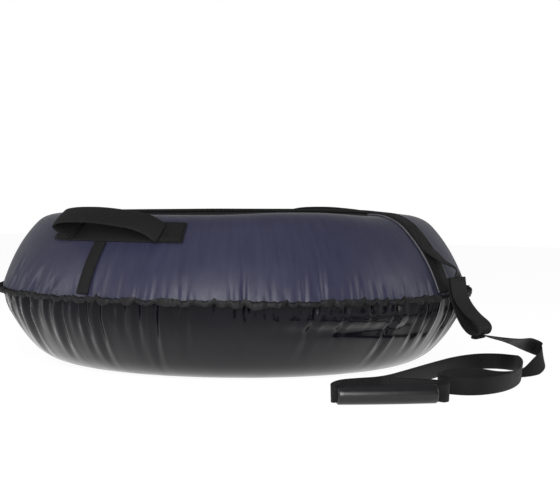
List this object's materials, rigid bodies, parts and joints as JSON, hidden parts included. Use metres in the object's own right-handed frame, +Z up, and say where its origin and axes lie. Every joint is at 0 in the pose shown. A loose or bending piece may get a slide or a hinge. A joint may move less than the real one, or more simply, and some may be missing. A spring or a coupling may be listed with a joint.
{
  "type": "towable tube",
  "caption": "Round inflated towable tube in a two-part sewn cover, with a seat well, webbing carrying handles and a webbing tow leash with a hand grip.",
  "frame": {"origin": "middle of the flat underside, on the surface that the tube lies on", "axes": "+Z up along the tube's axis, +X towards the tow strap, the carrying handles at -Y and +Y"},
  "size_m": [1.067, 0.9046, 0.2907],
  "materials": {
    "navy_cover": "satin",
    "black_cover": "gloss",
    "binding": "matte",
    "well_lining": "matte",
    "bladder_rubber": "matte",
    "valve_brass": "satin",
    "valve_cap": "matte",
    "zip_tape": "matte",
    "zip_teeth": "satin",
    "zip_metal": "satin",
    "webbing": "matte",
    "piping": "satin",
    "leash_webbing": "matte",
    "thread": "matte",
    "grip": "satin"
  },
  "bodies": {
    "tube": {"upper_cover": "navy_cover", "lower_cover": "black_cover", "seam_binding": "binding", "seat_well": "well_lining", "seat_floor": "well_lining", "well_seam_tape": "well_lining", "air_bladder": "bladder_rubber", "valve_patch": "bladder_rubber", "valve_stem": "valve_brass", "valve_core": "valve_brass", "zip_tape": "zip_tape", "zip_teeth": "zip_teeth", "tow_band_piping": "piping", "near_handle_base": "webbing", "near_handle_patches": "webbing", "near_handle_strap": "webbing", "near_side_strap": "webbing", "far_handle_base": "webbing", "far_handle_patches": "webbing", "far_handle_strap": "webbing", "far_side_strap": "webbing", "tow_band": "webbing", "tow_strap": "webbing"},
    "tow_line": {"tow_strap_tail": "webbing", "tow_loop": "webbing", "leash": "leash_webbing", "leash_bar_tack": "thread", "leash_tab": "leash_webbing"},
    "hand_grip": {"leash_grip": "grip"},
    "zip_slider": {"zip_slider": "zip_metal"},
    "zip_pull": {"zip_pull": "zip_metal"},
    "valve_cap": {"valve_cap": "valve_cap"}
  },
  "joints": [
    {"name": "tow_swing", "type": "hinge", "parent": "tube", "child": "tow_line", "pos_m": [0.40761, 0, 0.21704], "axis": [0, -1, 0], "range_deg": [0, 70]},
    {"name": "grip_spin", "type": "hinge", "parent": "tow_line", "child": "hand_grip", "pos_m": [0.513, -0.3669, 0.0145], "axis": [0.7552, 0.6554, 0], "continuous": true},
    {"name": "zip_travel", "type": "hinge", "parent": "tube", "child": "zip_slider", "pos_m": [0, 0, 0.0832], "axis": [0, 0, 1], "range_deg": [0, 138]},
    {"name": "zip_pull_flip", "type": "hinge", "parent": "zip_slider", "child": "zip_pull", "pos_m": [-0.05375, 0.14004, 0.088], "axis": [-0.3584, 0.9336, 0], "range_deg": [0, 165]},
    {"name": "valve_cap_spin", "type": "hinge", "parent": "tube", "child": "valve_cap", "pos_m": [-0.16462, 0, 0.05079], "axis": [0.9659, 0, -0.2588], "continuous": true}
  ]
}
